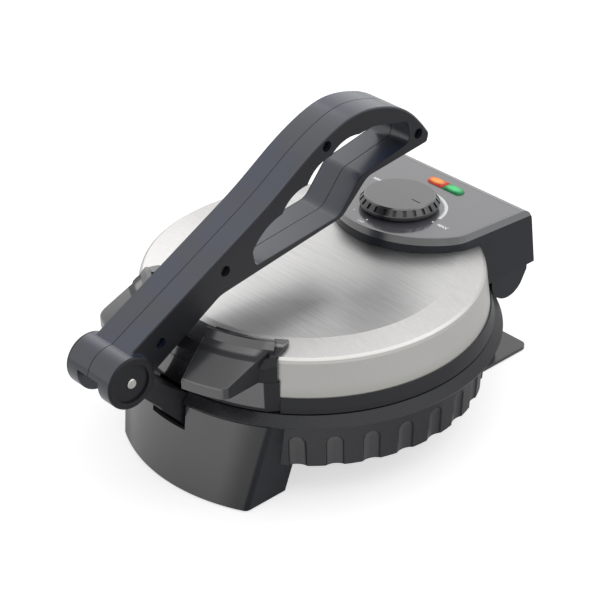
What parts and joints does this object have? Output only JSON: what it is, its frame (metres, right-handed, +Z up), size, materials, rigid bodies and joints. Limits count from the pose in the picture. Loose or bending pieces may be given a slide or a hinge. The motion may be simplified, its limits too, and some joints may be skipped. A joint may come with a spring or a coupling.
{
  "type": "electric roti maker",
  "caption": "Countertop flatbread press and cooker: hinged lid with heated plates, sloping control panel with a dial, and a long lever arm with a finger loop that presses the lid down.",
  "frame": {"origin": "centre of the whole part's footprint on the worktop, at the underside of the rubber feet", "axes": "+Z up, +Y from the lever arm's pivot at the front towards the lid's hinge at the back, +X to the right as seen from the front"},
  "size_m": [0.2582, 0.3454, 0.2203],
  "materials": {
    "lid_steel": "brushed along the hinge axis",
    "black_plastic": "fine satin grain",
    "gloss_plastic": "polished black",
    "fascia_plastic": "semi-gloss printed panel",
    "cooking_plate": "dark non-stick coating",
    "element_steel": "heat-darkened sheath",
    "shield_steel": "bare pressed sheet",
    "bare_steel": "bare turned steel",
    "screw_steel": "blackened",
    "rubber": "matt",
    "amber_lens": "clear-tinted",
    "green_lens": "clear-tinted",
    "lamp_glass": "clear bulb",
    "thermostat_body": "heat-resistant moulding"
  },
  "bodies": {
    "base": {"base_shell": "black_plastic", "lower_plate": "cooking_plate", "lower_element": "element_steel", "lower_shield": "shield_steel", "bottom_cover": "black_plastic", "base_screws": "screw_steel", "front_foot": "gloss_plastic", "rear_foot": "black_plastic", "cord_bush": "rubber", "rubber_feet": "rubber", "hinge_pins": "bare_steel", "pivot_bracket": "black_plastic", "bracket_screws": "screw_steel"},
    "lid": {"lid_cover": "lid_steel", "lid_rim": "black_plastic", "upper_plate": "cooking_plate", "upper_element": "element_steel", "upper_shield": "shield_steel", "lid_grip": "black_plastic", "grip_screws": "screw_steel", "control_housing": "black_plastic", "hinge_housing": "black_plastic", "control_top": "gloss_plastic", "control_fascia": "fascia_plastic", "heating_lens": "amber_lens", "ready_lens": "green_lens", "heating_lamp": "lamp_glass", "ready_lamp": "lamp_glass", "thermostat": "thermostat_body"},
    "dial": {"dial_knob": "black_plastic", "dial_shaft": "bare_steel"},
    "arm": {"arm_right": "black_plastic", "arm_left": "black_plastic", "arm_screws": "screw_steel", "pivot_pin": "bare_steel"}
  },
  "joints": [
    {"name": "lid_hinge", "type": "hinge", "parent": "base", "child": "lid", "pos_m": [0, 0.14495, 0.074], "axis": [-1, 0, 0], "range_deg": [0, 70]},
    {"name": "press_arm", "type": "hinge", "parent": "base", "child": "arm", "pos_m": [0, -0.15485, 0.1049], "axis": [1, 0, 0], "range_deg": [0, 124]},
    {"name": "dial_turn", "type": "hinge", "parent": "lid", "child": "dial", "pos_m": [0, 0.09945, 0.12387], "axis": [0, 0.0698, 0.9976], "range_deg": [0, 270]}
  ],
  "couplings": [
    {"joint": "press_arm", "follows": "lid_hinge", "ratio": 1.7714}
  ]
}
